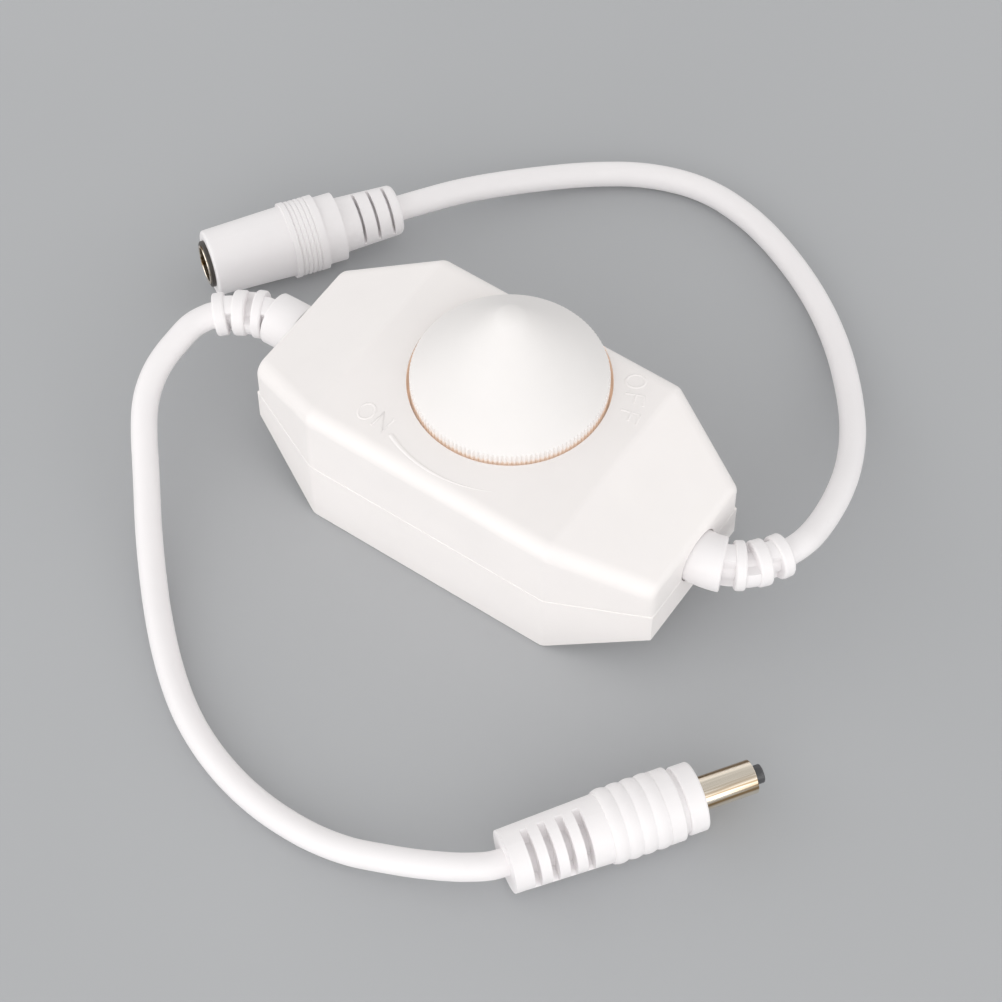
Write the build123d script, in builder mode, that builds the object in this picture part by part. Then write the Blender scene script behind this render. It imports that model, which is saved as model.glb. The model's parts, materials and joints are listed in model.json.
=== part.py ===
from build123d import *
import os
from math import atan2, cos, degrees, pi, radians, sin, tan

os.makedirs("parts", exist_ok=True)

# Inline dimmer for a low-voltage LED strip, with a conical knob, a socket lead and a plug lead.
# Millimetres. The origin is under the middle of the housing, +X runs to the input end,
# +Y to the side where the knob stands out of the wall, +Z up.

# Housing: a box whose ends taper in plan and in height
housing_length = 78.5
housing_width = 40.0
housing_height = 28.5
taper_length = 16.2
taper_side = 7.3
taper_rise = 7.1
wall = 2.0
long_edge_round = 2.6
inner_edge_round = 1.0
crease_round = 2.2
end_edge_round = 1.8
bottom_edge_round = 0.5
underside_crease_round = 4.0
parting_chamfer = 0.15
lip_height = 1.4
lip_thickness = 0.9
fit_gap = 0.1
tiny = 0.01

# Knob and the pocket that it stands in
knob_y = 4.6
knob_radius = 16.3
knob_rim_above = 1.4
knob_apex_above_rim = 18.5
knob_tip_round = 3.6
knob_rim_round = 0.6
knob_shell = 2.0
knob_hub_radius = 5.2
knob_hub_gap = 0.6
flute_count = 132
flute_size = 0.42
pocket_gap = 0.5
pocket_depth = 6.5
pocket_floor = 2.0
pocket_wall = 1.8
knob_under_gap = 0.6

# Potentiometer
shaft_radius = 3.0
shaft_flat_depth = 1.2
shaft_slack = 0.08
shaft_above_bushing = 11.0
bushing_radius = 3.5
bushing_length = 7.0
nut_flats = 10.0
nut_height = 2.0
washer_radius = 5.6
washer_height = 0.5
pot_radius = 8.2
pot_front_height = 1.2
pot_can_height = 6.4
pot_can_wall = 0.5
track_height = 1.4
track_hole_radius = 3.8
wiper_radius = 6.4
wiper_height = 1.2
wiper_gap = 0.4
terminal_pitch = 5.0
terminal_width = 1.2
terminal_thickness = 0.5
terminal_reach = 2.6

# Circuit board and what is on it
board_end_room = 16.5
board_width = 22.0
board_thickness = 1.6
board_under = 5.0
board_post_radius = 2.2
board_pin_radius = 0.8
board_pin_inset = 3.0
board_hole_gap = 0.2
terminal_hole_gap = 0.3
lead_frame = 0.5
mosfet_place = (14.0, 3.0)
mosfet_body = (6.6, 6.1)
mosfet_height = 2.3
mosfet_lead = 0.8
chip_place = (-13.5, -6.0)
chip_body = (4.9, 3.9)
chip_height = 1.6
chip_pitch = 1.27
capacitor_place = (-15.0, 3.0)
capacitor_radius = 3.3
capacitor_base = 0.8
capacitor_height = 7.7
diode_place = (13.0, -6.5)
diode_body = (4.4, 3.6)
diode_height = 2.2
resistor_places = [(-8.4, -8.8), (-8.4, -6.4), (5.0, -9.0), (-6.0, 8.0)]
resistor_body = (2.0, 1.25)
resistor_height = 0.5
ceramic_places = [(0.0, -9.0), (9.5, 9.0), (-11.0, 8.8)]
ceramic_body = (2.0, 1.25)
ceramic_height = 0.9

# Cover screws
screw_x = 19.5
screw_y = 14.3
post_radius = 2.75
screw_radius = 1.1
screw_length = 18.0
screw_head_radius = 2.0
screw_head_height = 1.5
screw_slot_length = 2.8
screw_slot_width = 0.6
screw_slot_depth = 0.7
screw_seat_height = 4.0
screw_gap = 0.05
screw_hole_gap = 0.2

# Strain reliefs: rings on a core, which bends in the gaps between them
relief_y = 0.7
relief_above_parting = 1.3
relief_hole_radius = 4.8
relief_flange_radius = 5.7
relief_flange_flats = 8.4
relief_flange_length = 2.0
relief_neck_radius = 4.2
relief_neck_length = 2.6
relief_collar_radius = 4.55
relief_collar_length = 5.9
relief_collar_round = 0.3
relief_tail_radius = 3.3
relief_tail_length = 6.2
relief_gaps = [1.6, 1.35, 1.4]
relief_ring_radii = [4.1, 3.9, 3.7]
relief_ring_lengths = [1.8, 2.25, 2.1]
relief_ring_round = 0.45
relief_bridge_width = 3.4
relief_bridge_below = 0.3
relief_stub = 1.2
relief_wall_gap = 0.3
input_tilt = 4.0
input_drawn_in = 1.7
input_collar_turn = 22.0
input_gap_turns = [14.0, 17.0, 9.0]
input_stub_turn = 8.0
output_tilt = 10.0
output_drawn_in = 0.0
output_collar_turn = 3.0
output_gap_turns = [20.0, 6.0, 12.0]
output_stub_turn = 16.0
cradle_thickness = 1.5
cradle_gap = 0.3

# Leads and the wires inside them
lead_diameter = 4.5
wire_radius = 0.8
wire_spread = 1.3
wire_bend = 3.0
wire_pad_from_end = 18.5
corner_share = 0.45
output_runs = (1.6, 2.0)
input_runs = (2.0, 4.5)

# Plug on the output lead, measured along its axis from the tail face
plug_tail = (41.9, -58.1)
plug_heading = 55.4
plug_roll = 42.0
plug_length = 32.1
plug_tail_radius = 5.15
plug_waist_radius = 5.65
plug_slot_count = 4
plug_slot_start = 3.0
plug_slot_pitch = 2.9
plug_slot_width = 1.2
plug_slot_core = 3.1
plug_web = 3.5
plug_ridge_start = 16.2
plug_ridge_pitch = 2.35
plug_ridge_count = 4
plug_ridge_radius = 6.15
plug_valley_radius = 5.88
plug_band_radius = 6.0
plug_groove_radius = 5.15
plug_groove_width = 0.8
plug_head_length = 3.1
plug_head_radius = 5.6
plug_edge_round = 0.35
plug_tail_round = 0.9
barrel_radius = 2.75
barrel_length = 9.5
barrel_seat = 3.0
barrel_flange_radius = 3.4
barrel_root_radius = 2.6
barrel_root_length = 0.3
barrel_wall = 0.45
barrel_lip_round = 0.15
plug_bore_radius = 1.05
contact_wall = 0.25
contact_setback = 1.5
insulator_proud = 1.6
insulator_nose_radius = 1.55
insulator_nose_round = 0.25

# Socket on the input lead, measured along its axis from the mouth
jack_mouth = (-66.35, 8.5)
jack_heading = 54.9
jack_roll = 57.0
jack_length = 34.9
jack_mouth_radius = 5.85
jack_front_length = 14.3
jack_front_radius = 6.3
jack_rib_radius = 6.8
jack_rib_length = 0.9
jack_fine_ribs = 5
jack_fine_pitch = 0.85
jack_fine_radius = 6.7
jack_fine_valley = 6.45
jack_collar_end = 23.8
jack_collar_radius = 6.1
jack_tail_radius = 4.95
jack_end_radius = 4.45
jack_end_round = 1.0
jack_mouth_round = 0.5
jack_slot_places = [27.4, 30.1, 32.8]
jack_slot_width = 0.55
jack_slot_core = 2.9
jack_web = 3.2
jack_cavity_radius = 4.2
jack_cavity_depth = 12.0
jack_insert_setback = 0.8
jack_insert_base = 2.0
jack_bore_radius = 2.9
jack_pin_radius = 1.0
jack_pin_setback = 2.2
jack_spring_thickness = 0.3
jack_spring_width = 2.6

# Places that follow from the sizes above
straight_half = housing_length / 2 - taper_length
mid_z = housing_height / 2
relief_z = mid_z + relief_above_parting
pocket_radius = knob_radius + pocket_gap
pocket_floor_z = housing_height - pocket_depth
pot_top_z = pocket_floor_z - pocket_floor
knob_bottom_z = pocket_floor_z + knob_under_gap
knob_rim_z = housing_height + knob_rim_above
shaft_top_z = pot_top_z + bushing_length + shaft_above_bushing
board_bottom_z = wall + board_under
board_top_z = board_bottom_z + board_thickness
lead_radius = lead_diameter / 2
board_length = housing_length - 2 * board_end_room
end_x = housing_length / 2
knob_axis = Axis((0, knob_y, 0), (0, 0, 1))
screw_places = [(x, y) for x in (-screw_x, screw_x) for y in (-screw_y, screw_y)]
board_pin_places = [
    (x, y)
    for x in (board_pin_inset - board_length / 2, board_length / 2 - board_pin_inset)
    for y in (board_pin_inset - board_width / 2, board_width / 2 - board_pin_inset)
]


def finish(part, name):
    """Label one finished piece and write it to its own file."""
    part.label = name
    export_step(part, f"parts/{name}.step")


# Housing form


def half_width(x, inset):
    """Half the housing's width at x, drawn in from the outside by the inset."""
    return housing_width / 2 - inset - taper_side * max(0.0, x - straight_half) / taper_length


def half_height(x, inset):
    """Half the housing's height at x, drawn in from the outside by the inset."""
    return housing_height / 2 - inset - taper_rise * max(0.0, x - straight_half) / taper_length


def housing_form(inset, corner):
    """Closed tapered box of the housing, drawn in all round by the inset."""
    ends = (straight_half, end_x - inset)

    def section(x, side):
        with BuildSketch(Plane.YZ.offset(side * x)) as outline:
            with Locations((0, mid_z)):
                RectangleRounded(2 * half_width(x, inset), 2 * half_height(x, inset), corner)
        return outline.sketch

    with BuildPart() as form:
        extrude(section(straight_half, -1), amount=2 * straight_half)
        for side in (-1, 1):
            loft([section(x, side) for x in ends], ruled=True)
    return form.part


plan_points = [
    (end_x, half_width(end_x, 0)),
    (straight_half, half_width(0, 0)),
    (-straight_half, half_width(0, 0)),
    (-end_x, half_width(end_x, 0)),
    (-end_x, -half_width(end_x, 0)),
    (-straight_half, -half_width(0, 0)),
    (straight_half, -half_width(0, 0)),
    (end_x, -half_width(end_x, 0)),
]


def plan_outline(inset):
    """Outline of the housing at its parting plane, drawn in by the inset."""
    with BuildSketch(Plane.XY.offset(mid_z)) as outline:
        Polygon(*plan_points, align=None)
        offset(amount=-inset, kind=Kind.INTERSECTION, mode=Mode.REPLACE)
    return outline.sketch


def at_x(part, x):
    """Edges of a part that lie in the plane across the housing at x."""
    return part.edges().filter_by_position(Axis.X, x - tiny, x + tiny)


# Upper half, with well rounded edges
with BuildPart() as upper_solid:
    add(housing_form(0.0, long_edge_round))
    fillet(at_x(upper_solid, straight_half) + at_x(upper_solid, -straight_half), crease_round)
    fillet(at_x(upper_solid, end_x) + at_x(upper_solid, -end_x), end_edge_round)
    split(bisect_by=Plane.XY.offset(mid_z), keep=Keep.TOP)

# Lower half, on the same plan, with ends that rise from a flat underside and a nearly sharp bottom edge
with BuildPart() as lower_solid:
    with BuildSketch(Plane.XY):
        Polygon(*plan_points, align=None)
        corners = vertices().group_by(Axis.X)
        fillet(corners[1] + corners[2], crease_round)
        fillet(corners[0] + corners[3], end_edge_round)
    extrude(amount=mid_z)
    with BuildSketch(Plane.XZ):
        for side in (-1, 1):
            Polygon(
                (side * straight_half, 0), (side * end_x, taper_rise), (side * end_x, 0), align=None
            )
    extrude(amount=housing_width, both=True, mode=Mode.SUBTRACT)
    creases = at_x(lower_solid, straight_half) + at_x(lower_solid, -straight_half)
    fillet(creases.filter_by(Axis.Y), underside_crease_round)
    underside = lower_solid.faces().filter_by(lambda face: face.normal_at().Z < -0.5)
    end_edges = at_x(lower_solid, end_x).group_by(Axis.Z)[0] + at_x(lower_solid, -end_x).group_by(Axis.Z)[0]
    fillet(underside.edges().filter_by(Axis.Y, reverse=True) + end_edges, bottom_edge_round)

cavity = housing_form(wall, inner_edge_round)
lip_outline = plan_outline(wall - lip_thickness)
rebate_outline = plan_outline(wall - lip_thickness - fit_gap)
cavity_outline = plan_outline(wall)


def half_shell(solid):
    """One half of the housing made hollow, with its outer edge at the parting plane eased."""
    with BuildPart() as shell:
        add(solid)
        rim = shell.faces().filter_by_position(Axis.Z, mid_z - tiny, mid_z + tiny)
        chamfer(rim.edges(), parting_chamfer)
        add(cavity, mode=Mode.SUBTRACT)
    return shell.part


# Round openings for the strain reliefs in the two end walls
with BuildPart() as relief_bores:
    for side in (-1, 1):
        with BuildSketch(Plane.YZ.offset(side * (end_x - 2 * wall))):
            with Locations((relief_y, relief_z)):
                Circle(relief_hole_radius)
        extrude(amount=side * 3 * wall)

# Upper cover: half shell, knob pocket and screw posts
with BuildPart() as upper_cover:
    add(half_shell(upper_solid.part))
    with BuildSketch(Plane.XY.offset(pot_top_z)):
        with Locations((0, knob_y)):
            Circle(pocket_radius + pocket_wall)
    extrude(amount=housing_height - wall / 2 - pot_top_z)
    add(upper_solid.part, mode=Mode.INTERSECT)
    with BuildSketch(Plane.XY.offset(mid_z)):
        with Locations(*screw_places):
            Circle(post_radius)
    extrude(amount=half_height(0, wall / 2))
    with BuildSketch(Plane.XY.offset(pocket_floor_z)):
        with Locations((0, knob_y)):
            Circle(pocket_radius)
    extrude(amount=2 * pocket_depth, mode=Mode.SUBTRACT)
    with BuildSketch(Plane.XY.offset(pot_top_z)):
        with Locations((0, knob_y)):
            Circle(bushing_radius + fit_gap)
    extrude(amount=pocket_floor, mode=Mode.SUBTRACT)
    extrude(rebate_outline, amount=lip_height + fit_gap, mode=Mode.SUBTRACT)
    with BuildSketch(Plane.XY.offset(mid_z)):
        with Locations(*screw_places):
            Circle(post_radius)
    extrude(amount=lip_height + 2 * fit_gap)
    with BuildSketch(Plane.XY.offset(mid_z)):
        with Locations(*screw_places):
            Circle(screw_radius + screw_gap)
    extrude(amount=half_height(0, 2 * wall), mode=Mode.SUBTRACT)
    add(relief_bores.part, mode=Mode.SUBTRACT)

# Lower cover: half shell, lip, screw posts, board posts and relief cradles
cradle_x = end_x - wall - relief_wall_gap - relief_flange_length - input_drawn_in - cradle_thickness
with BuildPart() as lower_cover:
    add(half_shell(lower_solid.part))
    extrude(lip_outline, amount=lip_height)
    extrude(cavity_outline, amount=lip_height, mode=Mode.SUBTRACT)
    with BuildSketch(Plane.XY.offset(wall / 2)):
        with Locations(*screw_places):
            Circle(post_radius)
    extrude(amount=mid_z - wall / 2)
    for side in (-1, 1):
        with BuildSketch(Plane.YZ.offset(side * cradle_x)):
            with Locations((relief_y, mid_z)):
                rib_height = half_height(cradle_x, wall / 2)
                Rectangle(2 * relief_flange_radius, rib_height, align=(Align.CENTER, Align.MAX))
            with Locations((relief_y, relief_z)):
                Circle(relief_tail_radius + cradle_gap, mode=Mode.SUBTRACT)
        extrude(amount=side * cradle_thickness)
    with BuildSketch(Plane.XY.offset(wall / 2)):
        with Locations(*board_pin_places):
            Circle(board_post_radius)
    extrude(amount=board_bottom_z - wall / 2)
    with BuildSketch(Plane.XY.offset(board_bottom_z)):
        with Locations(*board_pin_places):
            Circle(board_pin_radius)
    extrude(amount=board_thickness)
    with BuildSketch(Plane.XY):
        with Locations(*screw_places):
            Circle(screw_radius + screw_hole_gap)
    extrude(amount=mid_z, mode=Mode.SUBTRACT)
    with BuildSketch(Plane.XY):
        with Locations(*screw_places):
            Circle(screw_head_radius + screw_hole_gap)
    extrude(amount=screw_seat_height, mode=Mode.SUBTRACT)
    add(relief_bores.part, mode=Mode.SUBTRACT)

finish(upper_cover.part, "upper_cover")
finish(lower_cover.part, "lower_cover")

# Cover screws, heads up against their seats in the underside
screw_head_z = screw_seat_height - screw_head_height
with BuildPart() as cover_screws:
    with BuildSketch(Plane.XY.offset(screw_head_z)):
        with Locations(*screw_places):
            Circle(screw_head_radius)
    extrude(amount=screw_head_height)
    with BuildSketch(Plane.XY.offset(screw_seat_height)):
        with Locations(*screw_places):
            Circle(screw_radius)
    extrude(amount=screw_length)
    with BuildSketch(Plane.XY.offset(screw_head_z)):
        with Locations(*screw_places):
            for turn in (0, 90):
                Rectangle(screw_slot_length, screw_slot_width, rotation=turn)
    extrude(amount=screw_slot_depth, mode=Mode.SUBTRACT)
finish(cover_screws.part, "cover_screws")

# Knob: a cone on a fluted skirt, hollow underneath round a hub
apex_z = knob_rim_z + knob_apex_above_rim
cone_angle = atan2(knob_radius, knob_apex_above_rim)
tip_centre_z = apex_z - knob_tip_round / sin(cone_angle)
hub_bottom_z = pot_top_z + bushing_length + knob_hub_gap


def under_cone(r):
    """Height of the cone's inner face at radius r."""
    return apex_z - r / tan(cone_angle) - knob_shell / sin(cone_angle)


with BuildPart() as knob:
    with BuildSketch(Plane.XZ.offset(-knob_y)):
        with BuildLine():
            tip = CenterArc(
                (0, tip_centre_z), knob_tip_round, degrees(cone_angle), 90 - degrees(cone_angle)
            )
            Polyline(
                tip @ 1,
                (0, knob_bottom_z),
                (knob_radius, knob_bottom_z),
                (knob_radius, knob_rim_z),
                tip @ 0,
            )
        make_face()
        fillet(vertices().group_by(Axis.X)[-1].sort_by(Axis.Y)[-1], knob_rim_round)
    revolve(axis=knob_axis)
    with BuildSketch(Plane.XZ.offset(-knob_y)):
        skirt_inner = knob_radius - knob_shell
        Polygon(
            (0, knob_bottom_z),
            (skirt_inner, knob_bottom_z),
            (skirt_inner, under_cone(skirt_inner)),
            (knob_hub_radius, under_cone(knob_hub_radius)),
            (knob_hub_radius, hub_bottom_z),
            (0, hub_bottom_z),
            align=None,
        )
    revolve(axis=knob_axis, mode=Mode.SUBTRACT)
    with BuildSketch(Plane.XY.offset(hub_bottom_z)):
        with Locations((0, knob_y)):
            Circle(shaft_radius + fit_gap)
        with Locations((0, knob_y - shaft_radius)):
            Rectangle(2 * shaft_radius, 2 * (shaft_flat_depth - fit_gap), mode=Mode.SUBTRACT)
    extrude(amount=shaft_top_z + fit_gap - hub_bottom_z, mode=Mode.SUBTRACT)
    with BuildSketch(Plane.XY.offset(knob_bottom_z)):
        with Locations((0, knob_y)):
            with PolarLocations(knob_radius, flute_count):
                Rectangle(flute_size, flute_size, rotation=45)
    extrude(amount=knob_rim_z + knob_rim_above - knob_bottom_z, mode=Mode.SUBTRACT)
finish(knob.part, "knob")

# Potentiometer, hung from the pocket's floor by its bushing and nut
pot_front_z = pot_top_z - pot_front_height
track_z = pot_front_z - track_height
wiper_top_z = track_z - wiper_gap
wiper_z = wiper_top_z - wiper_height
can_bottom_z = pot_front_z - pot_can_height
bushing_top_z = pot_top_z + bushing_length
tab_front_y = knob_y - pot_radius - terminal_reach
tab_width = 2 * (terminal_pitch + terminal_width)

with BuildPart() as pot_bushing:
    with BuildSketch(Plane.XY.offset(pot_front_z)):
        with Locations((0, knob_y)):
            Circle(pot_radius)
    extrude(amount=pot_front_height)
    with BuildSketch(Plane.XY.offset(pot_top_z)):
        with Locations((0, knob_y)):
            Circle(bushing_radius)
    extrude(amount=bushing_length)
    with BuildSketch(Plane.XY.offset(pot_front_z)):
        with Locations((0, knob_y)):
            Circle(shaft_radius + shaft_slack)
    extrude(amount=pot_front_height + bushing_length, mode=Mode.SUBTRACT)
finish(pot_bushing.part, "pot_bushing")

with BuildPart() as pot_washer:
    with BuildSketch(Plane.XY.offset(pocket_floor_z)):
        with Locations((0, knob_y)):
            Circle(washer_radius)
            Circle(bushing_radius + fit_gap, mode=Mode.SUBTRACT)
    extrude(amount=washer_height)
finish(pot_washer.part, "pot_washer")

with BuildPart() as pot_nut:
    with BuildSketch(Plane.XY.offset(pocket_floor_z + washer_height)):
        with Locations((0, knob_y)):
            RegularPolygon(nut_flats / 2, 6, major_radius=False)
            Circle(bushing_radius + fit_gap, mode=Mode.SUBTRACT)
    extrude(amount=nut_height)
finish(pot_nut.part, "pot_nut")

with BuildPart() as pot_case:
    with BuildSketch(Plane.XY.offset(can_bottom_z)):
        with Locations((0, knob_y)):
            Circle(pot_radius)
    extrude(amount=pot_can_height)
    with BuildSketch(Plane.XY.offset(can_bottom_z + pot_can_wall)):
        with Locations((0, knob_y)):
            Circle(pot_radius - pot_can_wall)
    extrude(amount=pot_can_height, mode=Mode.SUBTRACT)
    with BuildSketch(Plane.XY.offset(track_z - fit_gap)):
        with Locations((0, knob_y - pot_radius)):
            Rectangle(tab_width + 2 * fit_gap, 2 * pot_radius - 2 * track_hole_radius)
    extrude(amount=track_height + fit_gap, mode=Mode.SUBTRACT)
finish(pot_case.part, "pot_case")

with BuildPart() as pot_track:
    with BuildSketch(Plane.XY.offset(track_z)):
        with Locations((0, knob_y)):
            Circle(pot_radius - pot_can_wall - fit_gap)
        with Locations((0, tab_front_y)):
            Rectangle(tab_width, pot_radius, align=(Align.CENTER, Align.MIN))
        with Locations((0, knob_y)):
            Circle(track_hole_radius, mode=Mode.SUBTRACT)
    extrude(amount=track_height)
finish(pot_track.part, "pot_track")

terminal_places = [
    (i * terminal_pitch, tab_front_y + terminal_width) for i in (-1, 0, 1)
]
with BuildPart() as pot_terminals:
    with BuildSketch(Plane.XY.offset(board_bottom_z - terminal_width)):
        with Locations(*terminal_places):
            Rectangle(terminal_width, terminal_thickness)
    extrude(amount=track_z - board_bottom_z + terminal_width)
finish(pot_terminals.part, "pot_terminals")

with BuildPart() as pot_shaft:
    with BuildSketch(Plane.XY.offset(wiper_z)):
        with Locations((0, knob_y)):
            Circle(shaft_radius)
    extrude(amount=shaft_top_z - wiper_z)
    with BuildSketch(Plane.XY.offset(bushing_top_z + knob_hub_gap / 2)):
        with Locations((0, knob_y - shaft_radius)):
            Rectangle(2 * shaft_radius, 2 * shaft_flat_depth)
    extrude(amount=shaft_above_bushing, mode=Mode.SUBTRACT)
finish(pot_shaft.part, "pot_shaft")

with BuildPart() as pot_wiper:
    with BuildSketch(Plane.XY.offset(wiper_z)):
        with Locations((0, knob_y)):
            Circle(wiper_radius)
            Circle(shaft_radius + fit_gap / 2, mode=Mode.SUBTRACT)
    extrude(amount=wiper_height)
finish(pot_wiper.part, "pot_wiper")

# Circuit board on its posts, and the parts soldered to it
with BuildPart() as circuit_board:
    with BuildSketch(Plane.XY.offset(board_bottom_z)):
        Rectangle(board_length, board_width)
        with Locations(*board_pin_places):
            Circle(board_pin_radius + board_hole_gap, mode=Mode.SUBTRACT)
        with Locations(*terminal_places):
            Rectangle(
                terminal_width + 2 * terminal_hole_gap,
                terminal_thickness + 2 * terminal_hole_gap,
                mode=Mode.SUBTRACT,
            )
    extrude(amount=board_thickness)
finish(circuit_board.part, "circuit_board")

with BuildPart() as mosfet:
    with BuildSketch(Plane.XY.offset(board_top_z)):
        with Locations(mosfet_place):
            Rectangle(*mosfet_body)
    extrude(amount=mosfet_height)
    with BuildSketch(Plane.XY.offset(board_top_z)):
        with Locations((mosfet_place[0], mosfet_place[1] + mosfet_body[1] / 2)):
            Rectangle(mosfet_body[0] - 2 * mosfet_lead, 2 * mosfet_lead)
        with Locations((mosfet_place[0], mosfet_place[1] - mosfet_body[1] / 2)):
            with GridLocations(mosfet_body[0] - 2 * mosfet_lead, 0, 2, 1):
                Rectangle(mosfet_lead, 4 * mosfet_lead)
    extrude(amount=lead_frame)
    chamfer(mosfet.faces().sort_by(Axis.Z)[-1].edges(), lead_frame / 2)
finish(mosfet.part, "mosfet")

with BuildPart() as timer_chip:
    with BuildSketch(Plane.XY.offset(board_top_z)):
        with Locations(chip_place):
            Rectangle(*chip_body)
    extrude(amount=chip_height)
    with BuildSketch(Plane.XY.offset(board_top_z)):
        with Locations(chip_place):
            with GridLocations(chip_pitch, 0, 4, 1):
                Rectangle(chip_pitch / 3, chip_body[1] + 2 * chip_pitch)
    extrude(amount=lead_frame / 2)
    chamfer(timer_chip.faces().sort_by(Axis.Z)[-1].edges(), lead_frame / 2)
finish(timer_chip.part, "timer_chip")

with BuildPart() as filter_capacitor:
    with BuildSketch(Plane.XY.offset(board_top_z)):
        with Locations(capacitor_place):
            Rectangle(2 * capacitor_radius, 2 * capacitor_radius)
        chamfer(vertices().group_by(Axis.X)[-1], capacitor_radius / 3)
    extrude(amount=capacitor_base)
    with BuildSketch(Plane.XY.offset(board_top_z + capacitor_base)):
        with Locations(capacitor_place):
            Circle(capacitor_radius - capacitor_base / 4)
    extrude(amount=capacitor_height - capacitor_base)
    fillet(filter_capacitor.faces().sort_by(Axis.Z)[-1].edges(), capacitor_base / 2)
finish(filter_capacitor.part, "filter_capacitor")

with BuildPart() as flyback_diode:
    with BuildSketch(Plane.XY.offset(board_top_z)):
        with Locations(diode_place):
            Rectangle(*diode_body)
    extrude(amount=diode_height)
    with BuildSketch(Plane.XY.offset(board_top_z)):
        with Locations(diode_place):
            Rectangle(diode_body[0] + 4 * lead_frame, diode_body[1] / 2)
    extrude(amount=diode_height / 2)
    chamfer(flyback_diode.faces().sort_by(Axis.Z)[-1].edges(), lead_frame / 2)
finish(flyback_diode.part, "flyback_diode")

with BuildPart() as chip_resistors:
    with BuildSketch(Plane.XY.offset(board_top_z)):
        with Locations(*resistor_places):
            Rectangle(*resistor_body)
    extrude(amount=resistor_height)
finish(chip_resistors.part, "chip_resistors")

with BuildPart() as chip_capacitors:
    with BuildSketch(Plane.XY.offset(board_top_z)):
        with Locations(*ceramic_places):
            Rectangle(*ceramic_body)
    extrude(amount=ceramic_height)
finish(chip_capacitors.part, "chip_capacitors")

# Strain reliefs


def relief_inside(drawn_in):
    """How far inside the end wall's face a relief's tail begins."""
    return wall + relief_wall_gap + drawn_in + relief_flange_length + relief_tail_length


def relief_axis(side, relief_tilt, drawn_in, collar_turn, gap_turns, stub_turn):
    """Centre line of one relief, from the inner end of its tail to the start of the lead."""
    tilt = radians(relief_tilt)
    outward = Vector(side, 0, 0)
    sideways = Vector(0, side * cos(tilt), -sin(tilt))
    mouth = (side * end_x, relief_y, relief_z)
    frame = Plane(origin=mouth, x_dir=outward, z_dir=outward.cross(sideways))
    collar_out = collar_end - relief_inside(drawn_in)
    with BuildLine() as line:
        last = Line((-relief_inside(drawn_in), 0), (0, 0))
        last = JernArc(last @ 1, last % 1, collar_out / radians(collar_turn), collar_turn)
        for gap, turn, length in zip(relief_gaps, gap_turns, relief_ring_lengths):
            last = JernArc(last @ 1, last % 1, gap / radians(turn), turn)
            last = Line(last @ 1, last @ 1 + (last % 1) * length)
        JernArc(last @ 1, last % 1, relief_stub / radians(stub_turn), stub_turn)
    return line.wires()[0].moved(frame.location), frame


# Start, length and radius of each round stretch, counted from the inner end of the tail
collar_start = relief_tail_length + relief_flange_length + relief_neck_length
collar_end = collar_start + relief_collar_length
relief_body = [
    (0.0, relief_tail_length, relief_tail_radius),
    (relief_tail_length + relief_flange_length, relief_neck_length, relief_neck_radius),
]
relief_rings = []
ring_start = collar_end
for gap, length, radius in zip(relief_gaps, relief_ring_lengths, relief_ring_radii):
    relief_rings.append((ring_start + gap, length, radius))
    ring_start += gap + length
relief_length = ring_start + relief_stub


def across_relief(axis_line, frame, place):
    """Plane across a relief's centre line, with its X axis square to the bend."""
    share = place / relief_length
    return Plane(
        origin=axis_line.position_at(share), x_dir=frame.z_dir, z_dir=axis_line.tangent_at(share)
    )


def relief_round(axis_line, frame, station, eased):
    """One round stretch of a relief, swept along the centre line, with its end edges eased."""
    place, length, radius = station
    with BuildPart() as stretch:
        with BuildSketch(across_relief(axis_line, frame, place)):
            Circle(radius)
        sweep(path=axis_line.trim(place / relief_length, (place + length) / relief_length))
        if eased > 0:
            fillet(stretch.edges().filter_by(lambda edge: edge.is_closed), eased)
    return stretch.part


def relief_bridge(axis_line, frame, index):
    """The two bridges across one gap, in line with the rings and turned a quarter from gap to gap."""
    place, gap, radius = relief_rings[index][0], relief_gaps[index], relief_ring_radii[index]
    with BuildPart() as bridge:
        with BuildSketch(across_relief(axis_line, frame, place - gap)):
            Circle(radius - relief_bridge_below)
            Rectangle(2 * radius, relief_bridge_width, rotation=90 * (index % 2), mode=Mode.INTERSECT)
        sweep(path=axis_line.trim((place - gap) / relief_length, place / relief_length))
    return bridge.part


def strain_relief(axis_line, frame):
    """One segmented relief: a core with round stretches, rings and the bridges between the rings."""
    collar = (collar_start, relief_collar_length, relief_collar_radius)
    flange_share = relief_tail_length / relief_length
    flange_plane = Plane(
        origin=axis_line.position_at(flange_share),
        x_dir=(0, 0, 1),
        z_dir=axis_line.tangent_at(flange_share),
    )
    with BuildPart() as relief:
        with BuildSketch(across_relief(axis_line, frame, 0)):
            Circle(lead_radius)
        sweep(path=axis_line)
        with BuildSketch(flange_plane):
            Circle(relief_flange_radius)
            Rectangle(relief_flange_flats, 2 * relief_flange_radius, mode=Mode.INTERSECT)
        extrude(amount=relief_flange_length)
        add([relief_round(axis_line, frame, station, 0) for station in relief_body])
        add(relief_round(axis_line, frame, collar, relief_collar_round))
        add([relief_round(axis_line, frame, station, relief_ring_round) for station in relief_rings])
        add([relief_bridge(axis_line, frame, index) for index in range(len(relief_rings))])
    return relief.part


input_axis, input_frame = relief_axis(
    1, input_tilt, input_drawn_in, input_collar_turn, input_gap_turns, input_stub_turn
)
output_axis, output_frame = relief_axis(
    -1, output_tilt, output_drawn_in, output_collar_turn, output_gap_turns, output_stub_turn
)
input_strain_relief = strain_relief(input_axis, input_frame)
output_strain_relief = strain_relief(output_axis, output_frame)
finish(input_strain_relief, "input_strain_relief")
finish(output_strain_relief, "output_strain_relief")

# Wires from the tails of the reliefs down to the board


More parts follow.
